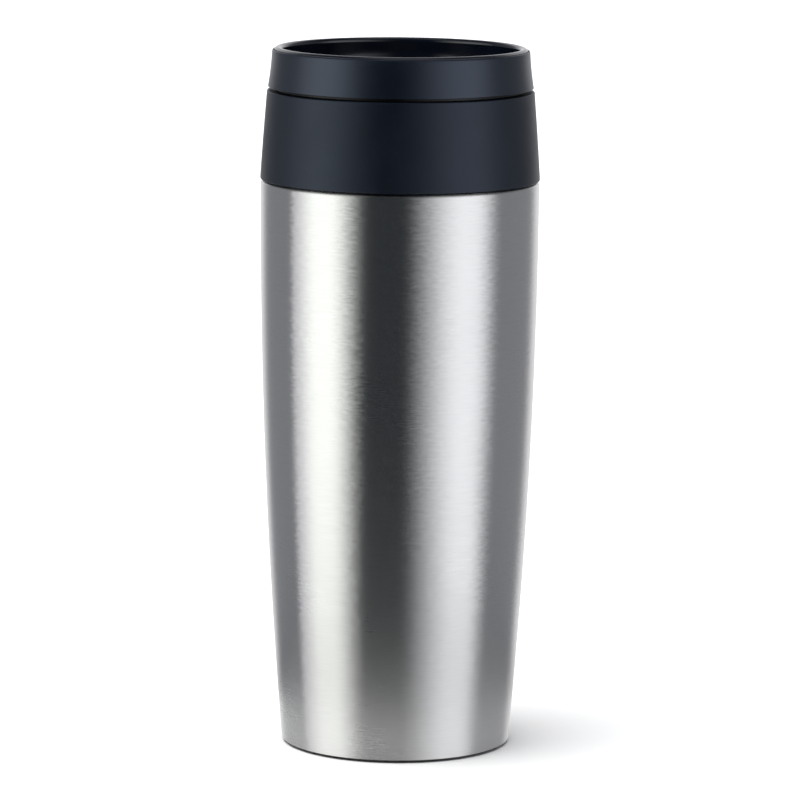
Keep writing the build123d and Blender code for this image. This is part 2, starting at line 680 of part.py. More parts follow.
# ---- valve plate, its silicone seal and the nut that holds them ------------
PLATE_R, PLATE_LOW = 28.4, 143.6
PLATE_RIM = 145.6
SEAL_IN_R, SEAL_HIGH = 24.8, 147.3
with BuildPart() as valve_plate:
    with BuildSketch(Plane.XZ):
        with BuildLine():
            Polyline(
                (THREAD_R + SLIP, PLATE_LOW),
                (PLATE_R - 0.8, PLATE_LOW),
                (PLATE_R, PLATE_LOW + 0.8),
                (PLATE_R, PLATE_RIM),
                (SEAL_IN_R, PLATE_RIM),
                (SEAL_IN_R, SEAL_HIGH + SLIP),
                (SEAL_IN_R + 1.0, SEAL_HIGH + SLIP),
                (SEAL_IN_R + 1.0, PLATE_TOP - 0.2),
                (SEAL_IN_R + 0.6, PLATE_TOP),
                (SEAL_IN_R - 1.2, PLATE_TOP),
                (SEAL_IN_R - 1.2, PLATE_RIM + 0.2),
                (NOSE_R + 1.0, PLATE_RIM + 0.2),
                (NOSE_R, PLATE_TOP - SLIP),
                (THREAD_R + SLIP, PLATE_TOP - SLIP),
                close=True,
            )
        make_face()
    revolve(axis=Axis.Z)
    with BuildSketch(Plane.XY.offset(PLATE_RIM)):
        with PolarLocations((NOSE_R + SEAL_IN_R) / 2, 6):
            Rectangle(SEAL_IN_R - NOSE_R - 0.6, 1.2)
    extrude(amount=1.8)
save(valve_plate.part, "valve_plate")

with BuildPart() as valve_seal:
    with BuildSketch(Plane.XZ):
        with BuildLine():
            seal_foot = SEAT_LOW - 0.08
            Polyline(
                (SEAL_IN_R + SLIP, PLATE_RIM + SLIP),
                (seat_radius(seal_foot, FIT), PLATE_RIM + SLIP),
                (seat_radius(seal_foot, FIT), seal_foot),
                (seat_radius(SEAL_HIGH, FIT), SEAL_HIGH),
                (SEAL_IN_R + SLIP, SEAL_HIGH),
                close=True,
            )
        make_face()
    revolve(axis=Axis.Z)
save(valve_seal.part, "valve_seal")

NUT_R, NUT_LOW = 6.5, 140.6
with BuildPart() as valve_nut:
    with BuildSketch(Plane.XY.offset(NUT_LOW)):
        Circle(NUT_R)
    extrude(amount=PLATE_LOW - SLIP - NUT_LOW)
    chamfer(valve_nut.faces().sort_by(Axis.Z)[0].edges(), 0.6)
    with BuildSketch(Plane.XY.offset(NUT_LOW)):
        with PolarLocations(NUT_R + 0.6, 6):
            Circle(1.7)
    extrude(amount=PLATE_LOW - NUT_LOW, mode=Mode.SUBTRACT)
    with BuildSketch(Plane.XY.offset(NUT_LOW + 0.8)):
        Circle(THREAD_R + SLIP)
    extrude(amount=PLATE_LOW - NUT_LOW, mode=Mode.SUBTRACT)
save(valve_nut.part, "valve_nut")
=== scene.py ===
"""An insulated steel travel mug with a screw-in lid that is open all round its rim.

The mug stands on the XY plane and its axis is Z. Metres, in the frame's own axes.
"""

import math

import bmesh
import bpy
from mathutils import Matrix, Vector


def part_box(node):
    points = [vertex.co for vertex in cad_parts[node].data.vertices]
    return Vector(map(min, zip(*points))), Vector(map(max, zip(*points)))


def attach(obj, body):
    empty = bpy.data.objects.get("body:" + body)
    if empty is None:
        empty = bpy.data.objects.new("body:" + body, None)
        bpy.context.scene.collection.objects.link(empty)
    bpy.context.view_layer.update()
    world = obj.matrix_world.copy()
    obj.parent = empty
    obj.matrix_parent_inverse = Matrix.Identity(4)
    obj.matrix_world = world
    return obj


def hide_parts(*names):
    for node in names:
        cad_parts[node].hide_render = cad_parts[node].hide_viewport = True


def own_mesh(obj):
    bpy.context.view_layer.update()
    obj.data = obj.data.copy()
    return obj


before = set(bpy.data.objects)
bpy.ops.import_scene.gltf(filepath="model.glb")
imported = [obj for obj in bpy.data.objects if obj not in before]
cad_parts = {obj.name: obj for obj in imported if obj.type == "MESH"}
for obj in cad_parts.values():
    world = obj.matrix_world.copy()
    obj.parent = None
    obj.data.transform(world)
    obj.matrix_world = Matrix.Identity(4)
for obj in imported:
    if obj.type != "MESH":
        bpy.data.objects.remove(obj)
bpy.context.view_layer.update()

scene = bpy.context.scene
scene.view_settings.view_transform = "Standard"

# ---- camera ----------------------------------------------------------------
# A long lens, well in front of the mug: it looks down on the mug by nine degrees
# and leans by half a degree.
CAMERA_BACK, CAMERA_UP = 1.39554, 0.32100
CAMERA_PITCH, CAMERA_ROLL = math.radians(81.0484), math.radians(0.5316)
CAMERA_LENS, CAMERA_SHIFT = 216.286, 0.00246

bpy.ops.object.select_all(action="DESELECT")
bpy.ops.object.camera_add()
camera = bpy.context.active_object
camera.name = "camera"
camera.matrix_world = (
    Matrix.Translation((0, -CAMERA_BACK, CAMERA_UP))
    @ Matrix.Rotation(CAMERA_PITCH, 4, "X")
    @ Matrix.Rotation(CAMERA_ROLL, 4, "Z")
)
camera.data.sensor_width = 36.0
camera.data.lens = CAMERA_LENS
camera.data.shift_x = CAMERA_SHIFT
camera.data.clip_start, camera.data.clip_end = 0.05, 50.0
scene.camera = camera

# ---- floor -----------------------------------------------------------------
# A seamless sheet of white paper. Two discs lie on it round the foot, a white satin
# card on a wide sheet of grey foil: the camera sees neither, but the steel mirrors both.
FLOOR_WIDE, FLOOR_BELOW = 12.0, 0.0004
CARD_BELOW, FOIL_BELOW = 0.0001, 0.0002
CARD_R, FOIL_R = 0.070, 0.120
PAPER_TOOTH, TOOTH_DEPTH = 900, 0.00002


def painted_paper(name, brightness, shine=0.0, roughness=0.9, metal=0.0):
    """Paper, card or foil of one grey, with a faint tooth."""
    paper = bpy.data.materials.new(name)
    paper.use_nodes = True
    nodes, links = paper.node_tree.nodes, paper.node_tree.links
    shader = nodes["Principled BSDF"]
    shader.inputs["Base Color"].default_value = (brightness, brightness, brightness, 1)
    shader.inputs["Roughness"].default_value = roughness
    shader.inputs["Specular IOR Level"].default_value = shine
    shader.inputs["Metallic"].default_value = metal
    tooth = nodes.new("ShaderNodeTexNoise")
    tooth.inputs["Scale"].default_value = PAPER_TOOTH
    bump = nodes.new("ShaderNodeBump")
    bump.inputs["Distance"].default_value = TOOTH_DEPTH
    links.new(tooth.outputs["Fac"], bump.inputs["Height"])
    links.new(bump.outputs["Normal"], shader.inputs["Normal"])
    return paper


bpy.ops.mesh.primitive_plane_add(size=FLOOR_WIDE, location=(0, 0, -FLOOR_BELOW))
floor = bpy.context.active_object
floor.name = "floor"
floor.data.materials.append(painted_paper("floor_paper", 0.93))
floor.visible_glossy = False
for name, radius, below, paper in (
    ("white_card", CARD_R, CARD_BELOW, painted_paper("white_satin", 1.0, 1.0, 0.15, 0.45)),
    ("grey_card", FOIL_R, FOIL_BELOW, painted_paper("grey_foil", 0.60, 0.5, 0.15, 1.0)),
):
    bpy.ops.mesh.primitive_circle_add(
        vertices=128, radius=radius, fill_type="NGON", location=(0, 0, -below)
    )
    card = bpy.context.active_object
    card.name = name
    card.data.materials.append(paper)
    card.visible_camera = card.visible_diffuse = card.visible_shadow = False

# ---- light -----------------------------------------------------------------
# A white room. Two tall softboxes stand left and right with grey between them,
# a dark wall faces the mug, and a ceiling light hangs over it.
# The light that comes from each part of the room, in red, green and blue
BACK_WALL = (0.90, 0.90, 0.92)
SIDE_WALL = (0.28, 0.29, 0.31)
FRONT_WALL = (0.033, 0.038, 0.044)
LEFT_EDGE = (1.00, 1.00, 1.05)
LEFT_BOX = (1.75, 1.80, 1.75)
RIGHT_BOX = (1.48, 1.51, 1.57)
# Where each part begins and ends, in degrees round the mug from the camera's side,
# towards the right as the camera sees it. Between two parts the light changes softly.
ROOM = [
    (-180, BACK_WALL),
    (-164, BACK_WALL),
    (-140, SIDE_WALL),
    (-103, SIDE_WALL),
    (-98, LEFT_EDGE),
    (-75, LEFT_BOX),
    (-62, LEFT_BOX),
    (-28, FRONT_WALL),
    (2, FRONT_WALL),
    (57, RIGHT_BOX),
    (67, RIGHT_BOX),
    (94, SIDE_WALL),
    (134, SIDE_WALL),
    (160, BACK_WALL),
    (180, BACK_WALL),
]
# Degrees above the horizon between which the walls' light falls to WALL_DIM of itself,
# and between which the ceiling's light begins
WALL_TOP, WALL_DIM = (24, 44), 0.22
CEILING_EDGE, CEILING = (60, 74), 0.4
BACKDROP = 1.02
KEY_TILT, KEY_TURN, KEY_WIDTH, KEY_STRENGTH = 12, -74, 54, 3.65

world = bpy.data.worlds.new("white_room")
scene.world = world
world.use_nodes = True
nodes, links = world.node_tree.nodes, world.node_tree.links
nodes.clear()
where = nodes.new("ShaderNodeTexCoord")
axes = nodes.new("ShaderNodeSeparateXYZ")
links.new(where.outputs["Generated"], axes.inputs[0])
towards_camera = nodes.new("ShaderNodeMath")
towards_camera.operation = "MULTIPLY"
towards_camera.inputs[1].default_value = -1
links.new(axes.outputs["Y"], towards_camera.inputs[0])
azimuth = nodes.new("ShaderNodeMath")
azimuth.operation = "ARCTAN2"
links.new(axes.outputs["X"], azimuth.inputs[0])
links.new(towards_camera.outputs[0], azimuth.inputs[1])
turn = nodes.new("ShaderNodeMapRange")
turn.inputs["From Min"].default_value = -math.pi
turn.inputs["From Max"].default_value = math.pi
links.new(azimuth.outputs[0], turn.inputs["Value"])
walls = nodes.new("ShaderNodeValToRGB")
links.new(turn.outputs[0], walls.inputs[0])
walls.color_ramp.interpolation = "EASE"
stops = walls.color_ramp.elements
brightest = max(max(light) for degrees, light in ROOM)
while len(stops) < len(ROOM):
    stops.new(0.5)
for stop, (degrees, light) in zip(stops, ROOM):
    stop.position = (degrees + 180) / 360
    stop.color = [part / brightest for part in light] + [1]
height = nodes.new("ShaderNodeMath")
height.operation = "ARCSINE"
links.new(axes.outputs["Z"], height.inputs[0])


def fade(degrees, low, high):
    """Goes from low to high between two heights above the horizon."""
    step = nodes.new("ShaderNodeMapRange")
    step.interpolation_type = "SMOOTHSTEP"
    step.inputs["From Min"].default_value = math.radians(degrees[0])
    step.inputs["From Max"].default_value = math.radians(degrees[1])
    step.inputs["To Min"].default_value = low
    step.inputs["To Max"].default_value = high
    links.new(height.outputs[0], step.inputs["Value"])
    return step.outputs[0]


cut = nodes.new("ShaderNodeVectorMath")
cut.operation = "SCALE"
links.new(walls.outputs["Color"], cut.inputs[0])
links.new(fade(WALL_TOP, 1, WALL_DIM), cut.inputs["Scale"])
room = nodes.new("ShaderNodeVectorMath")
room.operation = "ADD"
links.new(cut.outputs[0], room.inputs[0])
links.new(fade(CEILING_EDGE, 0, CEILING / brightest), room.inputs[1])
lit = nodes.new("ShaderNodeBackground")
lit.inputs["Strength"].default_value = brightest
links.new(room.outputs[0], lit.inputs["Color"])
plain = nodes.new("ShaderNodeBackground")
plain.inputs["Color"].default_value = (1, 1, 1, 1)
plain.inputs["Strength"].default_value = BACKDROP
ray = nodes.new("ShaderNodeLightPath")
seen = nodes.new("ShaderNodeMixShader")
links.new(ray.outputs["Is Camera Ray"], seen.inputs["Fac"])
links.new(lit.outputs[0], seen.inputs[1])
links.new(plain.outputs[0], seen.inputs[2])
world_out = nodes.new("ShaderNodeOutputWorld")
links.new(seen.outputs[0], world_out.inputs["Surface"])

# The key light is wide and almost overhead. It leans to the left, so that a short
# soft shadow falls to the right.
bpy.ops.object.light_add(
    type="SUN", rotation=(math.radians(KEY_TILT), 0, math.radians(KEY_TURN))
)
key = bpy.context.active_object
key.name = "key_light"
key.data.energy = KEY_STRENGTH
key.data.angle = math.radians(KEY_WIDTH)
key.visible_glossy = False

# ---- foot ring -------------------------------------------------------------
# A ring of black silicone, moulded and then pushed up into the rim of the base,
# so that only its lower edge shows as a thin dark line.
SMOOTH_BELOW = math.radians(40)
CORNER_STEPS = 6


def turned(name, outline, sides=192):
    """A round piece made as on a lathe: the outline is drawn corner by corner in the
    XZ plane and spun about the mug's axis. A corner's third number rounds it."""
    bpy.ops.object.select_all(action="DESELECT")
    bpy.ops.mesh.primitive_plane_add(size=0.001)
    piece = bpy.context.active_object
    piece.name = piece.data.name = name
    bpy.ops.object.mode_set(mode="EDIT")
    bpy.ops.mesh.select_all(action="SELECT")
    bpy.ops.mesh.merge(type="CENTER")
    bpy.ops.transform.translate(value=(outline[0][0], 0, outline[0][1]))
    for here, there in zip(outline, outline[1:]):
        bpy.ops.mesh.extrude_vertices_move(
            TRANSFORM_OT_translate={"value": (there[0] - here[0], 0, there[1] - here[1])}
        )
    open_ends = outline[0][0] == 0 and outline[-1][0] == 0
    if not open_ends:
        pick_corners(piece, [outline[0], outline[-1]])
        bpy.ops.mesh.edge_face_add()
    for corner in outline:
        if len(corner) > 2:
            pick_corners(piece, [corner])
            bpy.ops.mesh.bevel(affect="VERTICES", offset=corner[2], segments=CORNER_STEPS)
    bpy.ops.mesh.select_all(action="SELECT")
    bpy.ops.mesh.spin(steps=sides, angle=math.tau, center=(0, 0, 0), axis=(0, 0, 1))
    bpy.ops.mesh.select_all(action="SELECT")
    bpy.ops.mesh.remove_doubles(threshold=2e-6)
    bpy.ops.mesh.normals_make_consistent(inside=False)
    bpy.ops.object.mode_set(mode="OBJECT")
    bpy.ops.object.shade_smooth_by_angle(angle=SMOOTH_BELOW)
    return piece


def pick_corners(piece, corners):
    """Selects the outline's points at these corners and nothing else."""
    bpy.ops.mesh.select_all(action="DESELECT")
    drawn = bmesh.from_edit_mesh(piece.data)
    for corner in corners:
        nearest = min(
            drawn.verts,
            key=lambda v: math.hypot(v.co.x - corner[0], v.co.z - corner[1]),
        )
        nearest.select = True
    drawn.select_flush_mode()
    bmesh.update_edit_mesh(piece.data)


def finish(name, colour, roughness, metal=0.0):
    """A new material with its shader, its nodes and its links."""
    made = bpy.data.materials.new(name)
    made.use_nodes = True
    nodes, links = made.node_tree.nodes, made.node_tree.links
    shader = nodes["Principled BSDF"]
    shader.inputs["Base Color"].default_value = (*colour, 1)
    shader.inputs["Roughness"].default_value = roughness
    shader.inputs["Metallic"].default_value = metal
    return made, shader, nodes, links


def grain(nodes, links, scale, detail=3.0):
    """Noise on the piece's own axes. scale is its cells per metre along X, Y and Z."""
    place = nodes.new("ShaderNodeTexCoord")
    stretch = nodes.new("ShaderNodeMapping")
    stretch.inputs["Scale"].default_value = scale
    links.new(place.outputs["Object"], stretch.inputs["Vector"])
    noise = nodes.new("ShaderNodeTexNoise")
    noise.inputs["Scale"].default_value = 1.0
    noise.inputs["Detail"].default_value = detail
    links.new(stretch.outputs["Vector"], noise.inputs["Vector"])
    return noise.outputs["Fac"]


def spread(nodes, links, source, low, high, source_low=0.3, source_high=0.7):
    """Maps a noise's middle range to low and high."""
    level = nodes.new("ShaderNodeMapRange")
    level.inputs["From Min"].default_value = source_low
    level.inputs["From Max"].default_value = source_high
    level.inputs["To Min"].default_value = low
    level.inputs["To Max"].default_value = high
    links.new(source, level.inputs["Value"])
    return level.outputs[0]


def blend_colours(nodes, links, factor, one, other):
    """A mix of two colours by a factor."""
    mix = nodes.new("ShaderNodeMix")
    mix.data_type = "RGBA"
    mix.inputs["A"].default_value = (*one, 1)
    mix.inputs["B"].default_value = (*other, 1)
    links.new(factor, mix.inputs["Factor"])
    return mix.outputs["Result"]


def relief(nodes, links, shader, height, depth, strength=1.0):
    """Raises and sinks the surface by a noise, to this depth in metres."""
    bump = nodes.new("ShaderNodeBump")
    bump.inputs["Distance"].default_value = depth
    bump.inputs["Strength"].default_value = strength
    links.new(height, bump.inputs["Height"])
    links.new(bump.outputs["Normal"], shader.inputs["Normal"])
    return bump


silicone_black, shader, nodes, links = finish("silicone_black", (0.012, 0.012, 0.013), 0.6)
dust = grain(nodes, links, (260, 260, 260))
dusty = spread(nodes, links, dust, 0, 1)
links.new(
    blend_colours(nodes, links, dusty, (0.010, 0.010, 0.011), (0.022, 0.022, 0.023)),
    shader.inputs["Base Color"],
)
links.new(spread(nodes, links, dust, 0.52, 0.72), shader.inputs["Roughness"])
relief(nodes, links, shader, grain(nodes, links, (3500, 3500, 3500)), 0.00001)

low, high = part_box("foot_ring")
FOOT_IN, KEY_IN, KEY_OUT = 0.0290, 0.0297, 0.0322
FOOT_EDGE, FOOT_INSIDE = 0.00045, 0.0018
foot_ring = turned(
    "foot_ring_moulding",
    [
        (FOOT_IN, low.z, 0.0004),
        (high.x, low.z, 0.0002),
        (high.x, low.z + FOOT_EDGE),
        (KEY_OUT, low.z + FOOT_EDGE),
        (KEY_OUT, high.z, 0.0003),
        (KEY_IN, high.z, 0.0003),
        (KEY_IN, low.z + FOOT_INSIDE),
        (FOOT_IN, low.z + FOOT_INSIDE, 0.0002),
    ],
)
foot_ring.data.materials.append(silicone_black)
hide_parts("foot_ring")
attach(foot_ring, "mug")

# ---- outer shell -----------------------------------------------------------
# A drawn tube of stainless steel, bulged to a long barrel curve, brushed round
# its axis and rolled in at the mouth, where it is welded to the liner.
low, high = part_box("outer_shell")
BASE_R = 0.03355
SHELL_SHEET = 0.0006
LIP_JOINT_R = 0.0386
LIP_ROLL = 0.0010
shoulder_r, shoulder_z = high.x, high.z - LIP_ROLL


def shell_radius(z, inset=0.0):
    """Radius of the outer wall, an arc that stands upright at the shoulder."""
    taken_in = shoulder_r - BASE_R
    arc = (shoulder_z**2 + taken_in**2) / (2 * taken_in)
    return shoulder_r - arc + math.sqrt(arc**2 - (z - shoulder_z) ** 2) - inset


def along_shell(z_from, z_to, inset, count):
    """Points up or down the wall's curve."""
    heights = [z_from + (z_to - z_from) * i / count for i in range(count + 1)]
    return [(shell_radius(z, inset), z) for z in heights]


outer_shell = turned(
    "outer_shell_brushed",
    [
        *along_shell(low.z, shoulder_z, 0, 40),
        (shoulder_r, high.z, LIP_ROLL * 0.98),
        (LIP_JOINT_R, high.z),
        (LIP_JOINT_R, high.z - SHELL_SHEET),
        (shoulder_r - SHELL_SHEET, high.z - SHELL_SHEET, 0.0004),
        *along_shell(shoulder_z, low.z, SHELL_SHEET, 20),
    ],
    sides=256,
)

BRUSH_LENGTH, BRUSH_WIDTH = 0.0060, 0.00022
STROKE_LONG, STROKE_WIDE = 0.0023, 0.00046
LINE_DEPTH, LINE_DULLING = 0.0000012, 0.008


def brushed_steel(name, colour, roughness, sway):
    """Steel with fine lines round the mug's axis. sway is how far, as a slope, each
    line leans the surface to the side; the lines themselves spread light up and down."""
    steel, shader, nodes, links = finish(name, colour, roughness, metal=1.0)
    shader.inputs["Anisotropic"].default_value = 1.0
    shader.inputs["Anisotropic Rotation"].default_value = 0.25
    round_axis = nodes.new("ShaderNodeTangent")
    round_axis.direction_type = "RADIAL"
    round_axis.axis = "Z"
    links.new(round_axis.outputs[0], shader.inputs["Tangent"])
    lines = grain(nodes, links, (1 / BRUSH_LENGTH, 1 / BRUSH_LENGTH, 1 / BRUSH_WIDTH), 2.0)
    handled = grain(nodes, links, (38, 38, 26), 4.0)
    duller = [part * 0.95 for part in colour]
    links.new(
        blend_colours(nodes, links, spread(nodes, links, lines, 0, 1), colour, duller),
        shader.inputs["Base Color"],
    )
    rough = nodes.new("ShaderNodeMath")
    rough.operation = "ADD"
    links.new(spread(nodes, links, lines, -LINE_DULLING, LINE_DULLING), rough.inputs[0])
    links.new(
        spread(nodes, links, handled, roughness - 0.015, roughness + 0.02), rough.inputs[1]
    )
    links.new(rough.outputs[0], shader.inputs["Roughness"])
    strokes = grain(nodes, links, (1 / STROKE_LONG, 1 / STROKE_LONG, 1 / STROKE_WIDE), 1.0)
    either_way = nodes.new("ShaderNodeMath")
    either_way.operation = "SUBTRACT"
    links.new(spread(nodes, links, strokes, 0, sway, 0.53, 0.66), either_way.inputs[0])
    links.new(spread(nodes, links, strokes, sway, 0, 0.34, 0.47), either_way.inputs[1])
    lean = nodes.new("ShaderNodeVectorMath")
    lean.operation = "SCALE"
    links.new(round_axis.outputs[0], lean.inputs[0])
    links.new(either_way.outputs[0], lean.inputs["Scale"])
    bump = nodes.new("ShaderNodeBump")
    bump.inputs["Distance"].default_value = LINE_DEPTH
    links.new(lines, bump.inputs["Height"])
    leant = nodes.new("ShaderNodeVectorMath")
    leant.operation = "ADD"
    links.new(bump.outputs["Normal"], leant.inputs[0])
    links.new(lean.outputs[0], leant.inputs[1])
    unit = nodes.new("ShaderNodeVectorMath")
    unit.operation = "NORMALIZE"
    links.new(leant.outputs[0], unit.inputs[0])
    links.new(unit.outputs[0], shader.inputs["Normal"])
    return steel


shell_steel = brushed_steel("brushed_steel", (0.66, 0.655, 0.645), 0.285, 0.012)
outer_shell.data.materials.append(shell_steel)
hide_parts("outer_shell")
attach(outer_shell, "mug")

# ---- base cover ------------------------------------------------------------
# A thin pressed steel disc with a raised middle and an upturned rim. It snaps
# in under the base and hides the vacuum seal.
low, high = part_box("base_cover")
RAISED_R, RAISE = 0.0120, 0.0004
base_cover = turned(
    "base_cover_pressing",
    [
        (0, low.z + RAISE),
        (RAISED_R, low.z + RAISE, 0.0003),
        (RAISED_R + 0.001, low.z, 0.0003),
        (high.x, low.z, 0.0005),
        (high.x, high.z),
        (high.x - SHELL_SHEET, high.z),
        (high.x - SHELL_SHEET, low.z + SHELL_SHEET, 0.0002),
        (RAISED_R + 0.0012, low.z + SHELL_SHEET),
        (RAISED_R + 0.0002, low.z + RAISE + SHELL_SHEET),
        (0, low.z + RAISE + SHELL_SHEET),
    ],
)
base_cover.data.materials.append(shell_steel)
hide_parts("base_cover")
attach(base_cover, "mug")

# ---- inner liner -----------------------------------------------------------
# The flask itself: a drawn steel cup, electropolished inside, with a cone below
# the mouth and three thread ridges rolled inwards for the lid.
low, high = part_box("inner_liner")
MOUTH_R = 0.0376
LINER_INSET = 0.0049
LINER_SHEET = 0.0006
FLOOR_CORNER = 0.0070
CONE_LOW, CONE_HIGH = 0.1508, 0.1528
THREAD_LEAD, THREAD_SWEEP, THREAD_STARTS = 0.015, 150, 3
THREAD_START_Z = 0.1568
THREAD_RISE = THREAD_LEAD * THREAD_SWEEP / 360
THREAD_STEPS, RUN_OUT_STEPS = 90, 5
RIDGE_FOOT, RIDGE_SHOULDER, RIDGE_CREST = 0.00095, 0.00062, 0.00030

corner_z = low.z + LINER_SHEET + FLOOR_CORNER
inner_liner = turned(
    "inner_liner_flask",
    [
        (0, low.z + LINER_SHEET),
        (shell_radius(corner_z, LINER_INSET), low.z + LINER_SHEET, FLOOR_CORNER),
        *along_shell(corner_z + 0.001, CONE_LOW, LINER_INSET, 24),
        (MOUTH_R, CONE_HIGH, 0.0006),
        (MOUTH_R, high.z, 0.0006),
        (LIP_JOINT_R, high.z),
        (LIP_JOINT_R, high.z - LINER_SHEET),
        (MOUTH_R + LINER_SHEET, high.z - LINER_SHEET),
        (MOUTH_R + LINER_SHEET, CONE_HIGH - 0.0003),
        *along_shell(CONE_LOW - 0.0003, corner_z + 0.001, LINER_INSET - LINER_SHEET, 16),
        (shell_radius(corner_z, LINER_INSET - LINER_SHEET), low.z, FLOOR_CORNER),
        (0, low.z),
    ],
)


def thread_ridge(name, radius, start_z, section):
    """One ridge of a thread: its section is drawn, screwed round the axis, and run
    out at both ends. section is a list of (step outwards, step up) from its root."""
    bpy.ops.object.select_all(action="DESELECT")
    bpy.ops.mesh.primitive_plane_add(size=0.001)
    ridge = bpy.context.active_object
    ridge.name = ridge.data.name = name
    bpy.ops.object.mode_set(mode="EDIT")
    bpy.ops.mesh.select_all(action="SELECT")
    bpy.ops.mesh.merge(type="CENTER")
    first = section[0]
    bpy.ops.transform.translate(value=(radius + first[0], 0, start_z + first[1]))
    for here, there in zip(section, section[1:]):
        bpy.ops.mesh.extrude_vertices_move(
            TRANSFORM_OT_translate={"value": (there[0] - here[0], 0, there[1] - here[1])}
        )
    bpy.ops.mesh.select_all(action="SELECT")
    bpy.ops.mesh.edge_face_add()
    bpy.ops.object.mode_set(mode="OBJECT")
    screw = ridge.modifiers.new("screw", "SCREW")
    screw.angle = math.radians(THREAD_SWEEP)
    screw.screw_offset = THREAD_RISE
    screw.steps = screw.render_steps = THREAD_STEPS
    screw.axis = "Z"
    bpy.ops.object.modifier_apply(modifier=screw.name)
    crest = 1 if section[3][0] > 0 else -1
    for point in ridge.data.vertices:
        step = point.index // len(section)
        run_out = min(step, THREAD_STEPS - step) / RUN_OUT_STEPS
        ease = math.sin(min(run_out, 1) * math.pi / 2)
        out = math.hypot(point.co.x, point.co.y)
        up = point.co.z - start_z - THREAD_RISE * step / THREAD_STEPS
        proud = section[point.index % len(section)][0] * crest > 0
        to = radius + (out - radius) * (ease if proud else 1)
        point.co.x *= to / out
        point.co.y *= to / out
        point.co.z -= up * 0.5 * (1 - ease)
    close_ends(len(section))
    return ridge


def close_ends(corners):
    """Merges the active mesh's doubles, caps its open ends and turns its faces out."""
    bpy.ops.object.mode_set(mode="EDIT")
    bpy.ops.mesh.select_all(action="SELECT")
    bpy.ops.mesh.remove_doubles(threshold=1e-6)
    bpy.ops.mesh.fill_holes(sides=corners)
    bpy.ops.mesh.select_all(action="SELECT")
    bpy.ops.mesh.normals_make_consistent(inside=False)
    bpy.ops.object.mode_set(mode="OBJECT")
    bpy.ops.object.shade_smooth_by_angle(angle=SMOOTH_BELOW)


def ridge_section(sunk, shoulder, crest):
    """A ridge's section as steps outwards and up. sunk, shoulder and crest are how far
    out its buried foot, its shoulders and its crest stand from the wall."""
    lower = [
        (sunk, -RIDGE_FOOT),
        (0, -RIDGE_FOOT),
        (shoulder, -RIDGE_SHOULDER),
        (crest, -RIDGE_CREST),
    ]
    return lower + [(out, -up) for out, up in reversed(lower)]


def add_thread(piece, radius, start_z, section):
    """Makes the ridges of a thread, evenly spaced, and joins them to the piece."""
    ridges = []
    for start in range(THREAD_STARTS):
        ridge = thread_ridge(f"{piece.name}_ridge_{start}", radius, start_z, section)
        ridge.data.transform(Matrix.Rotation(math.tau * start / THREAD_STARTS, 4, "Z"))
        ridges.append(ridge)
    bpy.ops.object.select_all(action="DESELECT")
    for ridge in ridges:
        ridge.select_set(True)
    piece.select_set(True)
    bpy.context.view_layer.objects.active = piece
    bpy.ops.object.join()


add_thread(inner_liner, MOUTH_R, THREAD_START_Z, ridge_section(0.0003, -0.00075, -0.0010))


def polished_steel(name, colour, roughness):
    """Steel that was spun and then electropolished: bright, with faint rings."""
    steel, shader, nodes, links = finish(name, colour, roughness, metal=1.0)
    shader.inputs["Anisotropic"].default_value = 0.45
    shader.inputs["Anisotropic Rotation"].default_value = 0.25
    round_axis = nodes.new("ShaderNodeTangent")
    round_axis.direction_type = "RADIAL"
    round_axis.axis = "Z"
    links.new(round_axis.outputs[0], shader.inputs["Tangent"])
    rings = grain(nodes, links, (60, 60, 1600), 2.0)
    cloud = grain(nodes, links, (55, 55, 40), 4.0)
    stained = [part * 0.86 for part in colour]
    links.new(
        blend_colours(nodes, links, spread(nodes, links, cloud, 0, 1), colour, stained),
        shader.inputs["Base Color"],
    )
    links.new(
        spread(nodes, links, rings, roughness - 0.05, roughness + 0.06),
        shader.inputs["Roughness"],
    )
    relief(nodes, links, shader, rings, 0.000008)
    return steel


liner_steel = polished_steel("liner_steel", (0.60, 0.60, 0.595), 0.22)
inner_liner.data.materials.append(liner_steel)
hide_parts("inner_liner")
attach(inner_liner, "mug")

# ---- vacuum parts ----------------------------------------------------------
# The pan that closes the space between the walls, the solder over its port, and
# the getter in its clip. All are shut in by the base cover.


def refinish(node, material):
    """Gives a piece of the frame a finer material."""
    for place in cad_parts[node].material_slots:
        place.material = material


solder, shader, nodes, links = finish("solder", (0.22, 0.215, 0.21), 0.5, metal=0.8)
links.new(
    spread(nodes, links, grain(nodes, links, (900, 900, 900), 4.0), 0.35, 0.65),
    shader.inputs["Roughness"],
)
relief(nodes, links, shader, grain(nodes, links, (1800, 1800, 1800)), 0.00005)

getter, shader, nodes, links = finish("getter", (0.10, 0.10, 0.105), 0.8, metal=0.3)
specks = grain(nodes, links, (4200, 4200, 4200), 5.0)
speckled = spread(nodes, links, specks, 0, 1)
links.new(
    blend_colours(nodes, links, speckled, (0.07, 0.07, 0.075), (0.18, 0.18, 0.18)),
    shader.inputs["Base Color"],
)
relief(nodes, links, shader, specks, 0.00004)

refinish("bottom_pan", liner_steel)
refinish("getter_clip", liner_steel)
refinish("vacuum_seal", solder)
refinish("getter_pellet", getter)

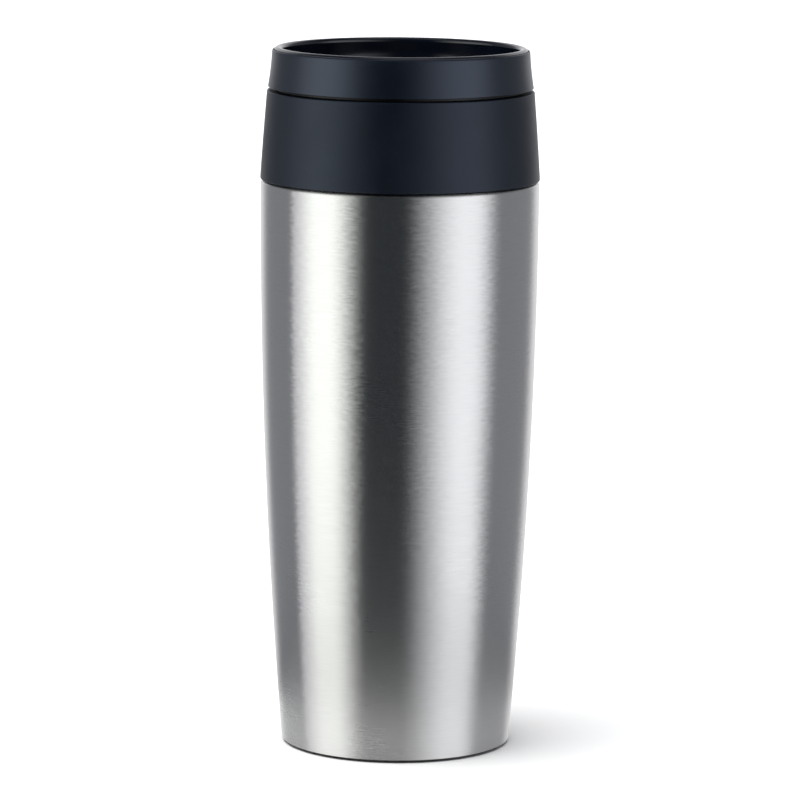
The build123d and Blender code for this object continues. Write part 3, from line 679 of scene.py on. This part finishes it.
# ---- lid core --------------------------------------------------------------
# One moulding in textured polypropylene: the plug with its three thread ridges,
# the flange that sits over the lip, the neck under the collar and the spigot.
low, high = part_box("lid_core")
gasket_low, gasket_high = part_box("lid_gasket")
collar_low, collar_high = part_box("collar_sleeve")
PLUG_R, PLUG_TIP_R, PLUG_BORE = 0.0360, 0.0349, 0.0316
GROOVE_R, GROOVE_EASE = 0.0332, 0.0001
THREAD_LOW = 0.1537
FLANGE_UNDER = 0.16635
COLLAR_WALL, SLIP = 0.0015, 0.00005
NECK_WALL = 0.0019
SPIGOT_IN, SPIGOT_OUT = 0.0344, 0.0359
SPIGOT_ROOT_LOW, SPIGOT_ROOT_HIGH = 0.1890, 0.1905
POCKET_R, POCKET_LOW, POCKET_HIGH = 0.0334, 0.1550, FLANGE_UNDER + 0.0018
RIDGE_BELOW = 0.00165
collar_foot_r, collar_head_r = 0.040845, 0.03895
neck_low = collar_foot_r - COLLAR_WALL - SLIP
neck_high = collar_head_r - COLLAR_WALL - SLIP
lid_core = turned(
    "lid_core_moulding",
    [
        (PLUG_BORE, low.z, 0.0003),
        (PLUG_TIP_R, low.z, 0.0005),
        (PLUG_TIP_R, gasket_low.z - GROOVE_EASE, 0.0001),
        (GROOVE_R, gasket_low.z - GROOVE_EASE, 0.0002),
        (GROOVE_R, gasket_high.z + GROOVE_EASE, 0.0002),
        (PLUG_TIP_R, gasket_high.z + GROOVE_EASE, 0.0001),
        (PLUG_TIP_R, THREAD_LOW - 0.0006),
        (PLUG_R, THREAD_LOW, 0.0002),
        (PLUG_R, FLANGE_UNDER, 0.0003),
        (neck_low, FLANGE_UNDER, 0.0003),
        (neck_high, collar_high.z, 0.0001),
        (SPIGOT_OUT, collar_high.z, 0.0002),
        (SPIGOT_OUT, high.z, 0.0002),
        (SPIGOT_IN, high.z, 0.0002),
        (SPIGOT_IN, SPIGOT_ROOT_HIGH),
        (neck_high - NECK_WALL, SPIGOT_ROOT_LOW),
        (neck_low - NECK_WALL, POCKET_HIGH + 0.0004, 0.0005),
        (POCKET_R, POCKET_HIGH, 0.0005),
        (POCKET_R, POCKET_LOW, 0.0005),
        (PLUG_BORE, POCKET_LOW - 0.0014),
    ],
)
add_thread(
    lid_core, PLUG_R, THREAD_START_Z - RIDGE_BELOW, ridge_section(-0.0004, 0.0009, 0.00125)
)


def moulded_plastic(
    name, colour, roughness, texture, depth, scuffed=0.05, gloss=0.5, sheen=(1, 1, 1), milky=0.0
):
    """Moulded plastic: texture is the cells per metre of its grain, and depth its
    height. Handling has worn the roughness a little uneven. gloss and sheen are the
    strength and colour of its shine, and milky is how much light goes into it."""
    plastic, shader, nodes, links = finish(name, colour, roughness)
    shader.inputs["Specular IOR Level"].default_value = gloss
    shader.inputs["Specular Tint"].default_value = (*sheen, 1)
    shader.inputs["Subsurface Weight"].default_value = milky
    shader.inputs["Subsurface Scale"].default_value = 0.001
    worn = grain(nodes, links, (70, 70, 70), 5.0)
    paler = [part * 1.18 + 0.001 for part in colour]
    links.new(
        blend_colours(nodes, links, spread(nodes, links, worn, 0, 1), colour, paler),
        shader.inputs["Base Color"],
    )
    links.new(
        spread(nodes, links, worn, roughness - scuffed, roughness + scuffed),
        shader.inputs["Roughness"],
    )
    relief(nodes, links, shader, grain(nodes, links, (texture,) * 3, 2.0), depth)
    return plastic


lid_plastic = moulded_plastic("lid_plastic", (0.0020, 0.0026, 0.0038), 0.42, 3600, 0.000010)
lid_core.data.materials.append(lid_plastic)
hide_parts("lid_core")
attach(lid_core, "lid")

# ---- lid gasket ------------------------------------------------------------
# A ring of translucent silicone with two lips, stretched into the plug's groove.
# It can be pulled off for washing.
low, high = gasket_low, gasket_high
LIP_BACK, LIP_EDGE = 0.0350, 0.0347
lid_gasket = turned(
    "lid_gasket_ring",
    [
        (GROOVE_R + GROOVE_EASE, low.z, 0.0002),
        (LIP_EDGE, low.z),
        (high.x, low.z + 0.0005, 0.00015),
        (high.x, low.z + 0.0009, 0.00015),
        (LIP_BACK, low.z + 0.0014, 0.0003),
        (LIP_BACK, high.z - 0.0014, 0.0003),
        (high.x, high.z - 0.0009, 0.00015),
        (high.x, high.z - 0.0005, 0.00015),
        (LIP_EDGE, high.z),
        (GROOVE_R + GROOVE_EASE, high.z, 0.0002),
    ],
)
silicone_clear, shader, nodes, links = finish("silicone_clear", (0.62, 0.62, 0.60), 0.38)
shader.inputs["Subsurface Weight"].default_value = 0.35
shader.inputs["Subsurface Radius"].default_value = (1.0, 0.9, 0.8)
shader.inputs["Subsurface Scale"].default_value = 0.002
bloom = grain(nodes, links, (240, 240, 240), 4.0)
bloomed = spread(nodes, links, bloom, 0, 1)
links.new(
    blend_colours(nodes, links, bloomed, (0.64, 0.64, 0.62), (0.54, 0.545, 0.53)),
    shader.inputs["Base Color"],
)
links.new(spread(nodes, links, bloom, 0.30, 0.48), shader.inputs["Roughness"])
relief(nodes, links, shader, grain(nodes, links, (2600, 2600, 2600)), 0.000012)
lid_gasket.data.materials.append(silicone_clear)
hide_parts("lid_gasket")
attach(lid_gasket, "seal_carrier")

# ---- collar sleeve ---------------------------------------------------------
# A band of dark slate soft-touch elastomer moulded over the lid's neck. This is
# what the hand turns. A thin shadow gap parts it from the steel and the ring.
low, high = collar_low, collar_high
COLLAR_CROWN = 0.00006
SLATE, SLATE_SHEEN = (0.0014, 0.0032, 0.0076), (0.70, 0.80, 1.0)


def collar_side(count):
    """Points up the collar's outside, a cone with a slight crown."""
    points = []
    for i in range(count + 1):
        up = i / count
        radius = collar_foot_r + (collar_head_r - collar_foot_r) * up
        points.append((radius + 4 * COLLAR_CROWN * up * (1 - up), low.z + (high.z - low.z) * up))
    return points


side = collar_side(10)
collar_sleeve = turned(
    "collar_sleeve_band",
    [
        (*side[0], 0.0004),
        *side[1:-1],
        (*side[-1], 0.0003),
        (collar_head_r - COLLAR_WALL, high.z),
        (collar_foot_r - COLLAR_WALL, low.z),
    ],
    sides=256,
)
soft_touch = moulded_plastic(
    "soft_touch", SLATE, 0.42, 5200, 0.000012, scuffed=0.04, sheen=SLATE_SHEEN
)
collar_sleeve.data.materials.append(soft_touch)
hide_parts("collar_sleeve")
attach(collar_sleeve, "lid")

# ---- drinking ring ---------------------------------------------------------
# The lip that one drinks from, all the way round: polished polypropylene with a
# full round crest, snapped over the spigot.
low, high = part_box("drinking_ring")
funnel_low, funnel_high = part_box("flow_funnel")
spigot_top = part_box("lid_core")[1].z
RING_OUT, RING_IN_LOW = high.x, 0.0332
SEAM_TOP = 0.19335
SLOT_TOP = spigot_top + 0.00125
CREST = (0.0358, 0.0)


def curve(start, pull_out, pull_in, end, count):
    """Points along a curve, without its end. It sets off towards one pull and comes in
    from the other, as a cubic does."""
    points = []
    for i in range(count):
        t = i / count
        shares = (1 - t) ** 3, 3 * (1 - t) ** 2 * t, 3 * (1 - t) * t**2, t**3
        corners = start, pull_out, pull_in, end
        points.append([sum(s * c[axis] for s, c in zip(shares, corners)) for axis in (0, 1)])
    return points


# Each corner is a radius and a distance below the crest: up the inside, over the
# inner half of the crest, and over its outer half.
INSIDE_TOP, OUTER_EDGE = (0.03445, 0.0013), (0.03677, 0.00043)
rim_line = [
    *curve((0.0332, 0.0157), (0.0332, 0.0108), (0.0347, 0.0062), INSIDE_TOP, 11),
    *curve(INSIDE_TOP, (0.03445, 0.0004), (0.0350, 0.0), CREST, 10),
    *curve(CREST, (0.0362, 0.0), (0.0365, 0.00024), OUTER_EDGE, 5),
    OUTER_EDGE,
]
drinking_ring = turned(
    "drinking_ring_lip",
    [
        (RING_IN_LOW, low.z),
        *((radius, high.z - down) for radius, down in rim_line),
        (RING_OUT, high.z - 0.00055),
        (RING_OUT, SEAM_TOP, 0.0001),
        (SPIGOT_OUT + SLIP, SEAM_TOP, 0.0001),
        (SPIGOT_OUT + SLIP, SLOT_TOP),
        (SPIGOT_IN - SLIP, SLOT_TOP),
        (SPIGOT_IN - SLIP, low.z),
    ],
    sides=256,
)
rim_plastic = moulded_plastic(
    "rim_plastic", (0.0026, 0.0042, 0.0090), 0.09, 420, 0.000004, scuffed=0.02
)
drinking_ring.data.materials.append(rim_plastic)
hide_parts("drinking_ring")
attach(drinking_ring, "lid")

# ---- ring sleeve and ring seal ---------------------------------------------
# The same soft-touch elastomer as the collar, moulded round the drinking ring
# and flared towards the seam. The seal under the ring is out of sight.
low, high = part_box("ring_sleeve")
SLEEVE_IN = RING_OUT + SLIP
SLEEVE_HEAD_R, SLEEVE_WAIST_R, SLEEVE_FOOT_R = 0.03755, 0.03798, 0.03872
sleeve_head_z = high.z - 0.0006


def sleeve_side(count):
    """Points up the ring's flare: a shallow hollow curve through foot, waist and head."""
    points = []
    for i in range(count + 1):
        up = i / count
        radius = (
            SLEEVE_FOOT_R * (1 - up) * (1 - 2 * up)
            + SLEEVE_WAIST_R * 4 * up * (1 - up)
            + SLEEVE_HEAD_R * up * (2 * up - 1)
        )
        points.append((radius, low.z + (sleeve_head_z - low.z) * up))
    return points


side = sleeve_side(8)
ring_sleeve = turned(
    "ring_sleeve_skin",
    [
        (*side[0], 0.0003),
        *side[1:],
        (SLEEVE_HEAD_R - 0.00008, sleeve_head_z + 0.0003),
        (SLEEVE_HEAD_R - 0.00019, high.z - 0.00008),
        (SLEEVE_HEAD_R - 0.00035, high.z),
        (SLEEVE_IN, high.z - 0.00025),
        (SLEEVE_IN, low.z),
    ],
    sides=256,
)
ring_skin = moulded_plastic(
    "ring_skin", SLATE, 0.33, 5200, 0.000008, scuffed=0.03, gloss=0.70, sheen=SLATE_SHEEN
)
ring_sleeve.data.materials.append(ring_skin)
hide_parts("ring_sleeve")
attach(ring_sleeve, "lid")
refinish("ring_seal", silicone_clear)

# ---- flow funnel -----------------------------------------------------------
# The lid's inner wall, welded into the plug: it carries the valve's conical seat
# at the bottom, the ledge for the bridge, and opens out to the drinking ring.
low, high = funnel_low, funnel_high
SEAT_LOW_R, SEAT_TOP_R, FUNNEL_R, LEDGE_R = 0.0293, 0.0272, 0.0296, 0.0283
seat_top = low.z + 0.0032
ledge_low, ledge_high = 0.1596, 0.1620
flare_low = 0.1760
FUNNEL_BACK = PLUG_BORE - SLIP
flow_funnel = turned(
    "flow_funnel_wall",
    [
        (SEAT_LOW_R, low.z),
        (SEAT_TOP_R, seat_top, 0.0002),
        (SEAT_TOP_R, seat_top + 0.0008, 0.0003),
        (FUNNEL_R, seat_top + 0.0032, 0.0004),
        (FUNNEL_R, ledge_low),
        (LEDGE_R, ledge_low + 0.0009, 0.0002),
        (LEDGE_R, ledge_high, 0.0002),
        (FUNNEL_R, ledge_high),
        (FUNNEL_R, flare_low, 0.0030),
        (RING_IN_LOW, high.z, 0.0001),
        (high.x, high.z),
        (high.x, high.z - 0.0022),
        (FUNNEL_BACK, flare_low - 0.0006),
        (FUNNEL_BACK, low.z),
    ],
)
flow_funnel.data.materials.append(lid_plastic)
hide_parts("flow_funnel")
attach(flow_funnel, "lid")

# ---- valve bridge, hub cap and latch ---------------------------------------
# The hub on four arms that guides the stem, its cap, and inside it the acetal
# sleeve and rotor of the push-push latch. They keep the frame's own shapes.
inner_plastic = moulded_plastic("inner_plastic", (0.0120, 0.0135, 0.0165), 0.30, 1500, 0.000006)
latch_plastic = moulded_plastic(
    "latch_plastic", (0.66, 0.65, 0.61), 0.32, 1200, 0.000006, milky=0.12
)
for node in ("valve_bridge", "hub_cap", "plunger_stem", "valve_nut"):
    refinish(node, inner_plastic)
for node in ("latch_sleeve", "latch_rotor"):
    refinish(node, latch_plastic)
refinish("stem_seal", silicone_clear)

# ---- return spring ---------------------------------------------------------
# Stainless wire wound cold into an open coil. It stands on the floor of the hub
# and lifts the stem's flange, so it shortens as the button goes down.
low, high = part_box("return_spring")
WIRE_R, COIL_R = 0.00045, 0.0056
COILS, COIL_SIDES, COIL_STEPS = 5.5, 12, 36
bpy.ops.object.select_all(action="DESELECT")
bpy.ops.mesh.primitive_circle_add(
    vertices=COIL_SIDES,
    radius=WIRE_R,
    location=(COIL_R, 0, low.z + WIRE_R),
    rotation=(math.radians(90), 0, 0),
    fill_type="NGON",
)
return_spring = bpy.context.active_object
return_spring.name = return_spring.data.name = "return_spring_coil"
bpy.ops.object.transform_apply(location=True, rotation=True, scale=True)
screw = return_spring.modifiers.new("coil", "SCREW")
screw.axis = "Z"
screw.angle = math.tau * COILS
screw.screw_offset = high.z - low.z - 2 * WIRE_R
screw.steps = screw.render_steps = int(COIL_STEPS * COILS)
bpy.ops.object.modifier_apply(modifier=screw.name)
close_ends(COIL_SIDES)
spring_steel, shader, nodes, links = finish("spring_steel", (0.58, 0.575, 0.57), 0.24, metal=1.0)
drawn = grain(nodes, links, (700, 700, 5200), 3.0)
links.new(spread(nodes, links, drawn, 0.18, 0.34), shader.inputs["Roughness"])
relief(nodes, links, shader, drawn, 0.000006)
return_spring.data.materials.append(spring_steel)
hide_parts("return_spring")
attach(return_spring, "lid")
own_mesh(return_spring)

# ---- push button -----------------------------------------------------------
# Polished polypropylene with a shallow dish for the thumb and a raised bead
# round its edge. Its boss grips the top of the stem.
low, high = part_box("push_button")
DISH_DEEP, DISH_R = 0.0011, high.x - 0.0032
BUTTON_WALL, BUTTON_ROOF = 0.0016, 0.0020
BOSS_R, BOSS_BORE = 0.0060, 0.00325
SKIRT_LOW = 0.1865
stem_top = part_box("plunger_stem")[1].z + SLIP
under = high.z - DISH_DEEP - BUTTON_ROOF


def dish(count):
    """Points out across the thumb dish, which is deepest at the middle."""
    points = []
    for i in range(count + 1):
        out = i / count
        drop = DISH_DEEP - (DISH_DEEP - 0.00025) * out**2.3
        points.append((DISH_R * out, high.z - drop))
    return points


push_button = turned(
    "push_button_cap",
    [
        *dish(16),
        (high.x - 0.0026, high.z, 0.0004),
        (high.x, high.z, 0.0010),
        (high.x, SKIRT_LOW, 0.0003),
        (high.x - BUTTON_WALL, SKIRT_LOW, 0.0003),
        (high.x - BUTTON_WALL, under, 0.0005),
        (BOSS_R, under, 0.0005),
        (BOSS_R, low.z, 0.0003),
        (BOSS_BORE, low.z, 0.0002),
        (BOSS_BORE, stem_top),
        (0, stem_top),
    ],
)
button_plastic = moulded_plastic("button_plastic", (0.0105, 0.0120, 0.0150), 0.24, 900, 0.000006)
push_button.data.materials.append(button_plastic)
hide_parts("push_button")
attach(push_button, "valve")

# ---- valve plate and valve seal --------------------------------------------
# The plate closes the plug from below. Its silicone seal has a conical edge that
# meets the seat, and both are held on the stem by the finger nut.
low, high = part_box("valve_seal")
SEAL_IN = 0.02485
valve_seal = turned(
    "valve_seal_ring",
    [
        (SEAL_IN, low.z, 0.0001),
        (high.x, low.z, 0.0001),
        (high.x, low.z + 0.00047, 0.0001),
        (high.x - 0.00077, high.z, 0.0001),
        (SEAL_IN, high.z, 0.0001),
    ],
)
valve_seal.data.materials.append(silicone_clear)
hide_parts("valve_seal")
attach(valve_seal, "valve")
refinish("valve_plate", inner_plastic)
